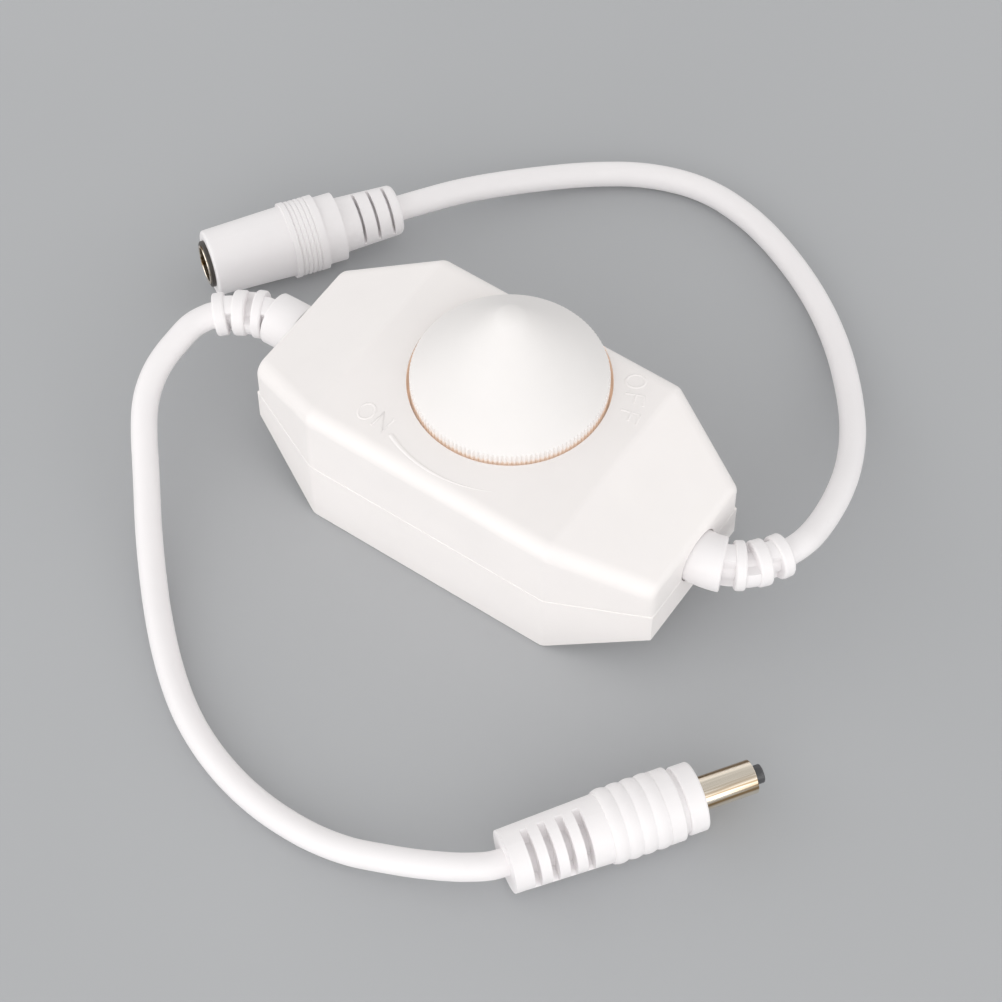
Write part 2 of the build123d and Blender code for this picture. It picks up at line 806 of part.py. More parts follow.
def wire_pair(start, side):
    """The two conductors of one lead, from the relief's tail to their pads on the board."""
    pad_x = side * (end_x - wire_pad_from_end)
    with BuildPart() as wires:
        for y in (start.Y - wire_spread, start.Y + wire_spread):
            with BuildLine() as route:
                FilletPolyline(
                    (start.X, y, start.Z), (pad_x, y, start.Z), (pad_x, y, board_top_z), radius=wire_bend
                )
            with BuildSketch(Plane(origin=route.line @ 0, z_dir=route.line % 0)):
                Circle(wire_radius)
            sweep(path=route.line)
    return wires.part


finish(wire_pair(input_axis @ 0, 1), "input_wires")
finish(wire_pair(output_axis @ 0, -1), "output_wires")

# Plug on the output lead


class Along:
    """Frame of a connector that lies on the table: planes along and across its axis."""

    def __init__(self, place, height, heading, roll):
        turn = radians(heading)
        self.start = Vector(place[0], place[1], height)
        self.forward = Vector(cos(turn), sin(turn), 0)
        self.left = Vector(-sin(turn), cos(turn), 0)
        self.axis = Axis(self.start, self.forward)
        self.profile = Plane(origin=self.start, x_dir=self.forward, z_dir=-self.left)
        self.side = self.left * cos(radians(roll)) - Vector(0, 0, sin(radians(roll)))

    def across(self, distance):
        """Plane across the axis at a distance along it, rolled about the axis."""
        origin = self.start + self.forward * distance
        return Plane(origin=origin, x_dir=self.side, z_dir=self.forward)


plug = Along(plug_tail, plug_ridge_radius, plug_heading, plug_roll)
ridge_end = plug_ridge_start + plug_ridge_pitch * plug_ridge_count
head_start = plug_length - plug_head_length
groove_start = head_start - plug_groove_width
with BuildPart() as plug_body:
    with BuildSketch(plug.profile):
        with BuildLine():
            last = Polyline(
                (0, 0), (0, plug_tail_radius), (plug_ridge_start, plug_waist_radius),
                (plug_ridge_start, plug_valley_radius),
            )
            for i in range(plug_ridge_count):
                start_x = plug_ridge_start + i * plug_ridge_pitch
                last = ThreePointArc(
                    (start_x, plug_valley_radius),
                    (start_x + plug_ridge_pitch / 2, plug_ridge_radius),
                    (start_x + plug_ridge_pitch, plug_valley_radius),
                )
            Polyline(
                (ridge_end, plug_valley_radius),
                (ridge_end, plug_band_radius),
                (groove_start, plug_band_radius),
                (groove_start, plug_groove_radius),
                (head_start, plug_groove_radius),
                (head_start, plug_head_radius),
                (plug_length, plug_head_radius),
                (plug_length, 0),
                (0, 0),
            )
        make_face()
        ends = vertices().group_by(Axis.X)
        band_corner = vertices().filter_by(lambda v: abs(v.Y - plug_band_radius) < tiny).sort_by(Axis.X)[-1]
        head_corner = vertices().filter_by(lambda v: abs(v.Y - plug_head_radius) < tiny).sort_by(Axis.X)[0]
        fillet([ends[-1].sort_by(Axis.Y)[-1], band_corner, head_corner], plug_edge_round)
        fillet(ends[0].sort_by(Axis.Y)[-1], plug_tail_round)
    revolve(axis=plug.axis)
    for i in range(plug_slot_count):
        with BuildSketch(plug.across(plug_slot_start + i * plug_slot_pitch)):
            Circle(2 * plug_ridge_radius)
            Circle(plug_slot_core, mode=Mode.SUBTRACT)
            Rectangle(plug_web, 4 * plug_ridge_radius, mode=Mode.SUBTRACT)
        extrude(amount=plug_slot_width, mode=Mode.SUBTRACT)
    with BuildSketch(plug.across(plug_length - barrel_seat)):
        Circle(barrel_flange_radius)
    extrude(amount=barrel_seat, mode=Mode.SUBTRACT)
finish(plug_body.part, "plug_body")

barrel_start = plug_length - barrel_seat
barrel_end = plug_length + barrel_length
insulator_radius = barrel_radius - barrel_wall
sleeve_radius = plug_bore_radius + contact_wall
with BuildPart() as plug_barrel:
    with BuildSketch(plug.profile):
        Polygon(
            (barrel_start, insulator_radius),
            (barrel_start, barrel_flange_radius),
            (plug_length, barrel_flange_radius),
            (plug_length, barrel_root_radius),
            (plug_length + barrel_root_length, barrel_radius),
            (barrel_end, barrel_radius),
            (barrel_end, insulator_radius),
            align=None,
        )
        fillet(vertices().group_by(Axis.X)[-1], barrel_lip_round)
    revolve(axis=plug.axis)
finish(plug_barrel.part, "plug_barrel")

with BuildPart() as plug_insulator:
    with BuildSketch(plug.profile):
        Polygon(
            (barrel_start, sleeve_radius),
            (barrel_start, insulator_radius),
            (barrel_end, insulator_radius),
            (barrel_end, insulator_nose_radius),
            (barrel_end + insulator_proud, insulator_nose_radius),
            (barrel_end + insulator_proud, plug_bore_radius),
            (barrel_end - contact_setback, plug_bore_radius),
            (barrel_end - contact_setback, sleeve_radius),
            align=None,
        )
        fillet(vertices().group_by(Axis.X)[-1].sort_by(Axis.Y)[-1], insulator_nose_round)
    revolve(axis=plug.axis)
finish(plug_insulator.part, "plug_insulator")

with BuildPart() as plug_contact:
    with BuildSketch(plug.profile):
        Polygon(
            (barrel_start, plug_bore_radius),
            (barrel_start, sleeve_radius),
            (barrel_end - contact_setback, sleeve_radius),
            (barrel_end - contact_setback, plug_bore_radius),
            align=None,
        )
    revolve(axis=plug.axis)
finish(plug_contact.part, "plug_contact")

# Socket on the input lead
jack = Along(jack_mouth, jack_rib_radius, jack_heading, jack_roll)
ribs_start = jack_front_length + jack_rib_length
ribs_end = ribs_start + jack_fine_ribs * jack_fine_pitch
with BuildPart() as jack_body:
    with BuildSketch(jack.profile):
        outline = [
            (0, 0),
            (0, jack_mouth_radius),
            (jack_front_length, jack_front_radius),
            (jack_front_length, jack_rib_radius),
            (ribs_start, jack_rib_radius),
        ]
        for i in range(jack_fine_ribs):
            rib_x = ribs_start + i * jack_fine_pitch
            outline.append((rib_x + jack_fine_pitch / 4, jack_fine_valley))
            outline.append((rib_x + jack_fine_pitch / 2, jack_fine_radius))
            outline.append((rib_x + jack_fine_pitch, jack_fine_radius))
        outline += [
            (ribs_end + jack_fine_pitch, jack_fine_radius),
            (ribs_end + jack_fine_pitch, jack_collar_radius),
            (jack_collar_end, jack_collar_radius),
            (jack_collar_end, jack_tail_radius),
            (jack_length, jack_end_radius),
            (jack_length, 0),
        ]
        Polygon(*outline, align=None)
        fillet(vertices().group_by(Axis.X)[0].sort_by(Axis.Y)[-1], jack_mouth_round)
        fillet(vertices().group_by(Axis.X)[-1].sort_by(Axis.Y)[-1], jack_end_round)
    revolve(axis=jack.axis)
    for place in jack_slot_places:
        with BuildSketch(jack.across(place - jack_slot_width / 2)):
            Circle(2 * jack_rib_radius)
            Circle(jack_slot_core, mode=Mode.SUBTRACT)
            Rectangle(jack_web, 4 * jack_rib_radius, mode=Mode.SUBTRACT)
        extrude(amount=jack_slot_width, mode=Mode.SUBTRACT)
    with BuildSketch(jack.across(0)):
        Circle(jack_cavity_radius)
    extrude(amount=jack_cavity_depth, mode=Mode.SUBTRACT)
finish(jack_body.part, "jack_body")

insert_base = jack_cavity_depth - jack_insert_base
with BuildPart() as jack_insert:
    with BuildSketch(jack.profile):
        Polygon(
            (jack_insert_setback, jack_bore_radius),
            (jack_insert_setback, jack_cavity_radius),
            (jack_cavity_depth, jack_cavity_radius),
            (jack_cavity_depth, jack_pin_radius),
            (insert_base, jack_pin_radius),
            (insert_base, jack_bore_radius),
            align=None,
        )
    revolve(axis=jack.axis)
    with BuildSketch(jack.across(jack_insert_setback)):
        with Locations((0, jack_bore_radius)):
            Rectangle(jack_spring_width, 2 * jack_spring_thickness)
    extrude(amount=insert_base - jack_insert_setback, mode=Mode.SUBTRACT)
finish(jack_insert.part, "jack_insert")

with BuildPart() as jack_spring:
    with BuildSketch(jack.across(jack_insert_setback)):
        with Locations((0, jack_bore_radius + jack_spring_thickness / 2)):
            Rectangle(jack_spring_width, jack_spring_thickness)
    extrude(amount=insert_base - jack_insert_setback)
finish(jack_spring.part, "jack_spring")

with BuildPart() as jack_pin:
    with BuildSketch(jack.across(jack_pin_setback)):
        Circle(jack_pin_radius)
    extrude(amount=jack_cavity_depth - jack_pin_setback)
    fillet(jack_pin.edges().filter_by(GeomType.CIRCLE).sort_by(jack.axis)[0], jack_pin_radius / 2)
finish(jack_pin.part, "jack_pin")

# Leads: routes chosen by hand, from the reliefs to the connectors


def lead_route(axis_line, runs, middle, far_end, heading):
    """Route points: straight out of the relief, the chosen points, and straight into the connector."""
    exit_run, entry_run = runs
    start = axis_line @ 1
    first = start + (axis_line % 1) * exit_run
    return [start, first] + [Vector(*p) for p in middle] + [far_end - heading * entry_run, far_end]


def corner_radii(points):
    """Largest arcs that the runs on both sides of each corner leave room for."""
    radii = []
    for before, here, after in zip(points, points[1:], points[2:]):
        shorter = min((here - before).length, (after - here).length)
        turn = (here - before).get_angle(after - here)
        radii.append(corner_share * shorter / tan(radians(turn / 2)))
    return radii


def lead_tube(name, points):
    """Round tube along a route of straight runs and tangent arcs."""
    radii = corner_radii(points)
    with BuildPart() as tube:
        with BuildLine() as route:
            FilletPolyline(*points, radius=radii)
        with BuildSketch(Plane(origin=route.line @ 0, z_dir=route.line % 0)):
            Circle(lead_radius)
        sweep(path=route.line)
    length = route.wires()[0].length
    exact = pi * lead_radius**2 * length
    print(name, "radii", [round(r, 1) for r in radii])
    print(name, "length", round(length, 2), "volume ratio", round(tube.part.volume / exact, 6))
    print(name, "points", [tuple(round(v, 3) for v in p) for p in points])
    return tube.part


output_middle = [
    (-56.95, -8.5, 13.9),
    (-57.25, -11.1, 13.2),
    (-57.55, -14.3, 12.4),
    (-57.27, -18.07, 11.45),
    (-55.9, -22.4, 10.2),
    (-53.1, -26.7, 8.7),
    (-47.6, -33.3, 6.55),
    (-42.9, -39.15, 4.95),
    (-37.3, -45.5, 3.55),
    (-30.7, -52.3, 2.7),
    (-23.6, -58.6, 2.35),
    (-15.8, -64.1, 2.27),
    (-7.0, -68.0, 2.27),
    (2.4, -70.2, 2.4),
    (12.0, -70.6, 2.9),
    (19.7, -69.6, 3.7),
    (25.4, -67.7, 4.6),
    (30.2, -66.0, 5.4),
    (35.3, -63.6, 6.0),
    (38.3, -61.7, plug_ridge_radius),
]
input_middle = [
    (51.9, 16.5, 13.2),
    (51.5, 21.6, 12.0),
    (50.6, 27.0, 10.55),
    (48.8, 33.4, 8.7),
    (45.3, 41.3, 6.5),
    (39.9, 49.4, 4.5),
    (32.7, 57.8, 3.05),
    (24.3, 64.8, 2.45),
    (15.2, 70.0, 2.3),
    (5.4, 73.9, 2.27),
    (-5.2, 75.2, 2.28),
    (-15.5, 72.1, 2.4),
    (-24.2, 65.9, 2.75),
    (-31.4, 58.7, 3.5),
    (-36.8, 52.2, 4.55),
    (-40.5, 46.8, 5.55),
]
jack_tail = jack.start + jack.forward * jack_length
output_route = lead_route(output_axis, output_runs, output_middle, plug.start, plug.forward)
input_route = lead_route(input_axis, input_runs, input_middle, jack_tail, -jack.forward)
finish(lead_tube("output_lead", output_route), "output_lead")
finish(lead_tube("input_lead", input_route), "input_lead")
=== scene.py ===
import json
from math import cos, pi, radians, sin

import bpy
from mathutils import Matrix, Vector


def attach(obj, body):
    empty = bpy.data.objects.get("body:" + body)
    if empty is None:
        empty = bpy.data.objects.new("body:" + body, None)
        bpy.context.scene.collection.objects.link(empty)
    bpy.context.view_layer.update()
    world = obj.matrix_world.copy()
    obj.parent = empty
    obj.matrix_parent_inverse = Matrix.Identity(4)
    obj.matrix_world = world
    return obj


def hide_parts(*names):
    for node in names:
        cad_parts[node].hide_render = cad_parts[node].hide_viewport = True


# Looks of the inline LED dimmer. Metres, in the frame of the solids.
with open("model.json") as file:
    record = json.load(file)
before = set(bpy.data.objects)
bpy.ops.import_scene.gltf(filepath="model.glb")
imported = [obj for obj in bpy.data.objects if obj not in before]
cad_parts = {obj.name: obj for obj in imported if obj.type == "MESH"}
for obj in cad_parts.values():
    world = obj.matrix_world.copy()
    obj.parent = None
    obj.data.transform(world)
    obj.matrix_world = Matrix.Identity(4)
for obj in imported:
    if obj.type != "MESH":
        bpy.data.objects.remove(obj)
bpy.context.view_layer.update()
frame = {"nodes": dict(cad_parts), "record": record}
nodes = frame["nodes"]
MM = 0.001

# Sizes that the pieces made here share with the solids, in millimetres and degrees
KNOB_Y = 4.6
TOP_Z = 28.5
POCKET_FLOOR_Z = 22.0
REAR_WALL_Y = 20.0
LEAD_DIAMETER = 4.5
PLUG_HEADING = 55.4
JACK_MOUTH = (-66.35, 8.5, 6.8)
JACK_HEADING = 54.9

# Camera at the photograph's angle, with the focal length in the picture's pixels
CAMERA_AZIMUTH = 34.37
CAMERA_ELEVATION = 56.62
CAMERA_DISTANCE = 506.56
CAMERA_TARGET = (1.48, -0.11, 0.0)
CAMERA_CLIP = (0.01, 20.0)
SENSOR_WIDTH = 36.0
FOCAL_PIXELS = 3000.0
PICTURE_PIXELS = 1002.0


def make_camera():
    """Long lens looking down on the part, with the photograph's framing."""
    azimuth = radians(CAMERA_AZIMUTH)
    elevation = radians(CAMERA_ELEVATION)
    distance = CAMERA_DISTANCE * MM
    target = Vector(CAMERA_TARGET) * MM
    back = Vector((sin(azimuth) * cos(elevation), -cos(azimuth) * cos(elevation), sin(elevation)))
    right = Vector((cos(azimuth), sin(azimuth), 0.0))
    up = back.cross(right)
    data = bpy.data.cameras.new("camera")
    data.sensor_width = SENSOR_WIDTH
    data.lens = SENSOR_WIDTH * FOCAL_PIXELS / PICTURE_PIXELS
    data.clip_start, data.clip_end = CAMERA_CLIP
    camera = bpy.data.objects.new("camera", data)
    bpy.context.collection.objects.link(camera)
    turn = Matrix((right, up, back)).transposed().to_4x4()
    camera.matrix_world = Matrix.Translation(target + back * distance) @ turn
    bpy.context.scene.camera = camera


make_camera()

# Shader parts. Noise scales are in features per metre, bump depths in millimetres.
NOISE_ROUGHNESS = 0.55
NOISE_LOW = 0.25
NOISE_HIGH = 0.75


def new_material(name):
    """A node material with its shader and the object coordinates."""
    material = bpy.data.materials.new(name)
    material.use_nodes = True
    tree = material.node_tree
    tree.nodes.clear()
    out = tree.nodes.new("ShaderNodeOutputMaterial")
    shader = tree.nodes.new("ShaderNodeBsdfPrincipled")
    tree.links.new(shader.outputs["BSDF"], out.inputs["Surface"])
    place = tree.nodes.new("ShaderNodeTexCoord")
    return material, tree, shader, place.outputs["Object"]


def noise(tree, place, scale, detail=3.0):
    """Soft noise over the surface."""
    node = tree.nodes.new("ShaderNodeTexNoise")
    node.inputs["Scale"].default_value = scale
    node.inputs["Detail"].default_value = detail
    node.inputs["Roughness"].default_value = NOISE_ROUGHNESS
    tree.links.new(place, node.inputs["Vector"])
    return node.outputs["Fac"]


def ramp(tree, value, stops):
    """Colours along a value."""
    node = tree.nodes.new("ShaderNodeValToRGB")
    band = node.color_ramp
    while len(band.elements) < len(stops):
        band.elements.new(0.5)
    for element, (at, colour) in zip(band.elements, stops):
        element.position = at
        element.color = (*colour, 1.0)
    tree.links.new(value, node.inputs["Fac"])
    return node.outputs["Color"]


def spread(tree, value, low, high):
    """The usual span of a noise value, mapped to a range."""
    node = tree.nodes.new("ShaderNodeMapRange")
    node.inputs["From Min"].default_value = NOISE_LOW
    node.inputs["From Max"].default_value = NOISE_HIGH
    node.inputs["To Min"].default_value = low
    node.inputs["To Max"].default_value = high
    tree.links.new(value, node.inputs["Value"])
    return node.outputs["Result"]


def between(tree, value, start, end):
    """Zero before the start, one after the end, eased in between. The end may be the lower one."""
    node = tree.nodes.new("ShaderNodeMapRange")
    node.interpolation_type = "SMOOTHSTEP"
    node.inputs["From Min"].default_value = start
    node.inputs["From Max"].default_value = end
    tree.links.new(value, node.inputs["Value"])
    return node.outputs["Result"]


def product(tree, first, second):
    """Two values multiplied."""
    node = tree.nodes.new("ShaderNodeMath")
    node.operation = "MULTIPLY"
    tree.links.new(first, node.inputs[0])
    tree.links.new(second, node.inputs[1])
    return node.outputs["Value"]


def bump(tree, shader, heights, strength, depth):
    """Bump from one value to the shader."""
    node = tree.nodes.new("ShaderNodeBump")
    node.inputs["Strength"].default_value = strength
    node.inputs["Distance"].default_value = depth * MM
    tree.links.new(heights, node.inputs["Height"])
    tree.links.new(node.outputs["Normal"], shader.inputs["Normal"])


def shade(colour, factor):
    """A colour made lighter or darker."""
    return tuple(min(1.0, c * factor) for c in colour)


# Moulded plastic and vinyl
MOTTLE = 0.012
MOTTLE_SCALE = 90.0
GLOSS_SCALE = 220.0
GLOSS_SPREAD = 0.05
FINE_GRAIN = (2600.0, 0.012)
VINYL_GRAIN = (1500.0, 0.01)
GRAIN_STRENGTH = 0.35


def moulded(name, colour, rough, grain=FINE_GRAIN):
    """Faint mottling, uneven gloss and a grain with a scale and a depth."""
    material, tree, shader, place = new_material(name)
    cloud = noise(tree, place, MOTTLE_SCALE, 4.0)
    stops = [(0.3, shade(colour, 1.0 - MOTTLE)), (0.7, shade(colour, 1.0 + MOTTLE))]
    tree.links.new(ramp(tree, cloud, stops), shader.inputs["Base Color"])
    gloss = noise(tree, place, GLOSS_SCALE, 4.0)
    uneven = spread(tree, gloss, rough - GLOSS_SPREAD, rough + GLOSS_SPREAD)
    tree.links.new(uneven, shader.inputs["Roughness"])
    scale, depth = grain
    bump(tree, shader, noise(tree, place, scale), GRAIN_STRENGTH, depth)
    return material


# Metal
MARKS_SCALE = 900.0
MARKS_STRENGTH = 0.12
STREAK_STRETCH = 40.0
STREAK_SCALE = 620.0
FINE_STREAK_SCALE = 2400.0
FINE_STREAK_STRENGTH = 0.1
FINE_STREAK_ROUGHNESS = (0.12, 0.24)
METAL_DEPTH = 0.01


def metal(name, colour, rough):
    """Plated or turned metal with faint working marks."""
    material, tree, shader, place = new_material(name)
    marks = noise(tree, place, MARKS_SCALE, 4.0)
    tone = ramp(tree, marks, [(0.25, shade(colour, 0.92)), (0.75, shade(colour, 1.05))])
    tree.links.new(tone, shader.inputs["Base Color"])
    shader.inputs["Metallic"].default_value = 1.0
    tree.links.new(spread(tree, marks, rough * 0.75, rough * 1.25), shader.inputs["Roughness"])
    bump(tree, shader, marks, MARKS_STRENGTH, METAL_DEPTH)
    return material


def streaked(name, bright, warm, heading):
    """Plated metal with warm streaks along a direction in plan."""
    material, tree, shader, place = new_material(name)
    turned = tree.nodes.new("ShaderNodeMapping")
    turned.vector_type = "TEXTURE"
    turned.inputs["Rotation"].default_value = (0.0, 0.0, radians(heading))
    turned.inputs["Scale"].default_value = (STREAK_STRETCH, 1.0, 1.0)
    tree.links.new(place, turned.inputs["Vector"])
    marks = noise(tree, turned.outputs["Vector"], STREAK_SCALE, 4.0)
    stops = [(0.4, warm), (0.5, bright), (0.6, bright), (0.7, shade(bright, 0.75))]
    tree.links.new(ramp(tree, marks, stops), shader.inputs["Base Color"])
    shader.inputs["Metallic"].default_value = 1.0
    fine = noise(tree, turned.outputs["Vector"], FINE_STREAK_SCALE, 4.0)
    tree.links.new(spread(tree, fine, *FINE_STREAK_ROUGHNESS), shader.inputs["Roughness"])
    bump(tree, shader, fine, FINE_STREAK_STRENGTH, METAL_DEPTH)
    return material


# Painted warm bounce light and painted glow in the gap round the knob. Each limit is a pair: no
# tint at the first, full tint at the second.
POCKET_PAINTED_LIGHT_LIMITS = {
    "radius": (17.2, 16.9),
    "below": (28.45, 27.8),
    "above": (POCKET_FLOOR_Z - 0.3, POCKET_FLOOR_Z - 0.1),
    "front": (REAR_WALL_Y - 0.05, REAR_WALL_Y - 0.3),
}
SKIRT_PAINTED_LIGHT_LIMITS = {
    "radius": (15.7, 16.1),
    "below": (29.0, 28.1),
    "above": (27.1, 27.3),
}
# Painted warm bounce light (peach tint) and painted glow (emission) on the pocket wall round the
# knob
POCKET_PAINTED_BOUNCE = (0.78, 0.67, 0.59)
POCKET_PAINTED_GLOW = (0.23, 0.165, 0.122)
# Painted warm bounce light (peach tint) and painted glow (emission) on the knob's skirt inside the
# gap
SKIRT_PAINTED_BOUNCE = (0.82, 0.745, 0.685)
SKIRT_PAINTED_GLOW = (0.11, 0.082, 0.063)

# Sockets of the mix node that carry colours
MIX_FIRST = 6
MIX_SECOND = 7
MIX_RESULT = 2


def painted_gap_light(material, limits, colour, glow):
    """Painted light in the gap round the knob: a peach tint in the base colour for warm bounce
    light, and a faint emitted glow.
    """
    tree = material.node_tree
    shader = tree.nodes["Principled BSDF"]
    place = tree.nodes["Texture Coordinate"].outputs["Object"]
    parts = tree.nodes.new("ShaderNodeSeparateXYZ")
    tree.links.new(place, parts.inputs["Vector"])
    on_axis = tree.nodes.new("ShaderNodeCombineXYZ")
    on_axis.inputs["Y"].default_value = KNOB_Y * MM
    tree.links.new(parts.outputs["Z"], on_axis.inputs["Z"])
    from_axis = tree.nodes.new("ShaderNodeVectorMath")
    from_axis.operation = "DISTANCE"
    tree.links.new(place, from_axis.inputs[0])
    tree.links.new(on_axis.outputs["Vector"], from_axis.inputs[1])
    values = {
        "radius": from_axis.outputs["Value"],
        "below": parts.outputs["Z"],
        "above": parts.outputs["Z"],
        "front": parts.outputs["Y"],
    }
    in_gap = None
    for key, (start, end) in limits.items():
        share = between(tree, values[key], start * MM, end * MM)
        in_gap = share if in_gap is None else product(tree, in_gap, share)
    # The peach tint mixed into the base colour is painted bounce light, and the emission is a
    # painted glow
    mix = tree.nodes.new("ShaderNodeMix")
    mix.data_type = "RGBA"
    plain = shader.inputs["Base Color"].links[0].from_socket
    tree.links.new(in_gap, mix.inputs["Factor"])
    tree.links.new(plain, mix.inputs[MIX_FIRST])
    mix.inputs[MIX_SECOND].default_value = (*colour, 1.0)
    tree.links.new(mix.outputs[MIX_RESULT], shader.inputs["Base Color"])
    shader.inputs["Emission Color"].default_value = (*glow, 1.0)
    tree.links.new(in_gap, shader.inputs["Emission Strength"])


# Finishes
HOUSING_WHITE = (0.91, 0.877, 0.862)
KNOB_WHITE = (0.825, 0.803, 0.79)
VINYL_WHITE = (0.9, 0.876, 0.88)
NICKEL = (0.9, 0.82, 0.7)
NICKEL_WARM = (0.36, 0.24, 0.12)
housing_material = moulded("housing_plastic", HOUSING_WHITE, 0.5)
# Painted bounce light and glow on the pocket wall round the knob
painted_gap_light(housing_material, POCKET_PAINTED_LIGHT_LIMITS, POCKET_PAINTED_BOUNCE, POCKET_PAINTED_GLOW)
knob_material = moulded("knob_plastic", KNOB_WHITE, 0.55)
# Painted bounce light and glow on the knob's skirt, where it shows in the gap
painted_gap_light(knob_material, SKIRT_PAINTED_LIGHT_LIMITS, SKIRT_PAINTED_BOUNCE, SKIRT_PAINTED_GLOW)
vinyl_material = moulded("white_vinyl", VINYL_WHITE, 0.46, VINYL_GRAIN)
finishes = {
    "housing_white": housing_material,
    "knob_white": knob_material,
    "relief_white": vinyl_material,
    "lead_white": vinyl_material,
    "connector_white": vinyl_material,
    "insert_dark": moulded("dark_insert", (0.05, 0.042, 0.036), 0.4),
    "nickel": streaked("nickel_plate", NICKEL, NICKEL_WARM, PLUG_HEADING),
    "insulator_black": moulded("black_insulator", (0.08, 0.08, 0.084), 0.28),
    "screw_steel": metal("screw_steel", (0.6, 0.6, 0.6), 0.32),
    "shaft_alloy": metal("shaft_alloy", (0.75, 0.75, 0.76), 0.3),
    "bushing_brass": metal("bushing_brass", (0.78, 0.65, 0.35), 0.28),
    "can_steel": metal("can_steel", (0.65, 0.65, 0.64), 0.35),
    "terminal_tin": metal("terminal_tin", (0.72, 0.72, 0.7), 0.35),
    "capacitor_can": metal("capacitor_can", (0.7, 0.7, 0.72), 0.3),
    "phenolic": moulded("brown_laminate", (0.42, 0.25, 0.13), 0.55),
    "wiper_plastic": moulded("black_moulding", (0.05, 0.05, 0.05), 0.45),
    "board_green": moulded("solder_mask", (0.07, 0.27, 0.12), 0.35),
    "chip_black": moulded("chip_package", (0.04, 0.04, 0.04), 0.5),
    "ceramic": moulded("fired_ceramic", (0.55, 0.42, 0.28), 0.5),
    "wire_red_black": moulded("wire_insulation", (0.35, 0.06, 0.05), 0.4),
}
slot_of = {row["node"]: row["material_slot"] for row in frame["record"]["subparts"]}
for name, node in nodes.items():
    node.data.materials.clear()
    node.data.materials.append(finishes[slot_of[name]])

# Rings in the mouth of the socket: distances along the socket from its mouth, and radii
LATHE_STEPS = 96
LIP_PROFILE = [(0.8, 4.15), (-0.55, 4.15), (-0.7, 4.0), (-0.7, 3.55), (0.8, 3.55)]
CONTACT_PROFILE = [(0.8, 3.5), (-0.8, 3.5), (-0.9, 3.4), (-0.9, 3.1), (-0.8, 3.0), (0.8, 3.0)]


def lathe(name, profile, slot):
    """Closed profile turned about the socket's axis."""
    turn = radians(JACK_HEADING)
    forward = Vector((cos(turn), sin(turn), 0.0))
    left = Vector((-sin(turn), cos(turn), 0.0))
    vertices = []
    faces = []
    count = len(profile)
    for step in range(LATHE_STEPS):
        angle = 2 * pi * step / LATHE_STEPS
        outward = left * cos(angle) + Vector((0.0, 0.0, sin(angle)))
        for along, radius in profile:
            vertices.append((Vector(JACK_MOUTH) + forward * along + outward * radius) * MM)
        here = step * count
        beyond = (step + 1) % LATHE_STEPS * count
        for i in range(count):
            j = (i + 1) % count
            faces.append((here + i, here + j, beyond + j, beyond + i))
    mesh = bpy.data.meshes.new(name)
    mesh.from_pydata(vertices, [], faces)
    mesh.materials.append(finishes[slot])
    piece = bpy.data.objects.new(name, mesh)
    bpy.context.collection.objects.link(piece)
    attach(piece, "housing")
    return piece


insert_lip = lathe("insert_lip", LIP_PROFILE, "insert_dark")
contact_ring = lathe("contact_ring", CONTACT_PROFILE, "nickel")

# Leads, in millimetres
OUTPUT_ROUTE = [
    (-55.35, -5.197, 14.51),
    (-56.222, -6.519, 14.277),
    (-56.95, -8.5, 13.9),
    (-57.25, -11.1, 13.2),
    (-57.55, -14.3, 12.4),
    (-57.27, -18.07, 11.45),
    (-55.9, -22.4, 10.2),
    (-53.1, -26.7, 8.7),
    (-47.6, -33.3, 6.55),
    (-42.9, -39.15, 4.95),
    (-37.3, -45.5, 3.55),
    (-30.7, -52.3, 2.7),
    (-23.6, -58.6, 2.35),
    (-15.8, -64.1, 2.27),
    (-7.0, -68.0, 2.27),
    (2.4, -70.2, 2.4),
    (12.0, -70.6, 2.9),
    (19.7, -69.6, 3.7),
    (25.4, -67.7, 4.6),
    (30.2, -66.0, 5.4),
    (35.3, -63.6, 6.0),
    (38.3, -61.7, 6.15),
    (40.764, -59.746, 6.15),
    (41.9, -58.1, 6.15),
]
INPUT_ROUTE = [
    (51.031, 10.231, 14.884),
    (51.715, 12.105, 14.752),
    (51.9, 16.5, 13.2),
    (51.5, 21.6, 12.0),
    (50.6, 27.0, 10.55),
    (48.8, 33.4, 8.7),
    (45.3, 41.3, 6.5),
    (39.9, 49.4, 4.5),
    (32.7, 57.8, 3.05),
    (24.3, 64.8, 2.45),
    (15.2, 70.0, 2.3),
    (5.4, 73.9, 2.27),
    (-5.2, 75.2, 2.28),
    (-15.5, 72.1, 2.4),
    (-24.2, 65.9, 2.75),
    (-31.4, 58.7, 3.5),
    (-36.8, 52.2, 4.55),
    (-40.5, 46.8, 5.55),
    (-43.695, 40.735, 6.8),
    (-46.282, 37.053, 6.8),
]


def lead(name, points, node):
    """Smooth round lead along the route of its solid."""
    data = bpy.data.curves.new(name, "CURVE")
    data.dimensions = "3D"
    data.bevel_depth = LEAD_DIAMETER / 2 * MM
    data.bevel_resolution = 10
    data.resolution_u = 16
    data.use_fill_caps = True
    spline = data.splines.new("NURBS")
    spline.points.add(len(points) - 1)
    for point, place in zip(spline.points, points):
        point.co = (place[0] * MM, place[1] * MM, place[2] * MM, 1.0)
    spline.order_u = 3
    spline.use_endpoint_u = True
    piece = bpy.data.objects.new(name, data)
    bpy.context.collection.objects.link(piece)
    data.materials.append(vinyl_material)
    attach(piece, "housing")
    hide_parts(node)


lead("output_cord", OUTPUT_ROUTE, "output_lead")
lead(
    "input_cord",
    INPUT_ROUTE,
    "input_lead",
)

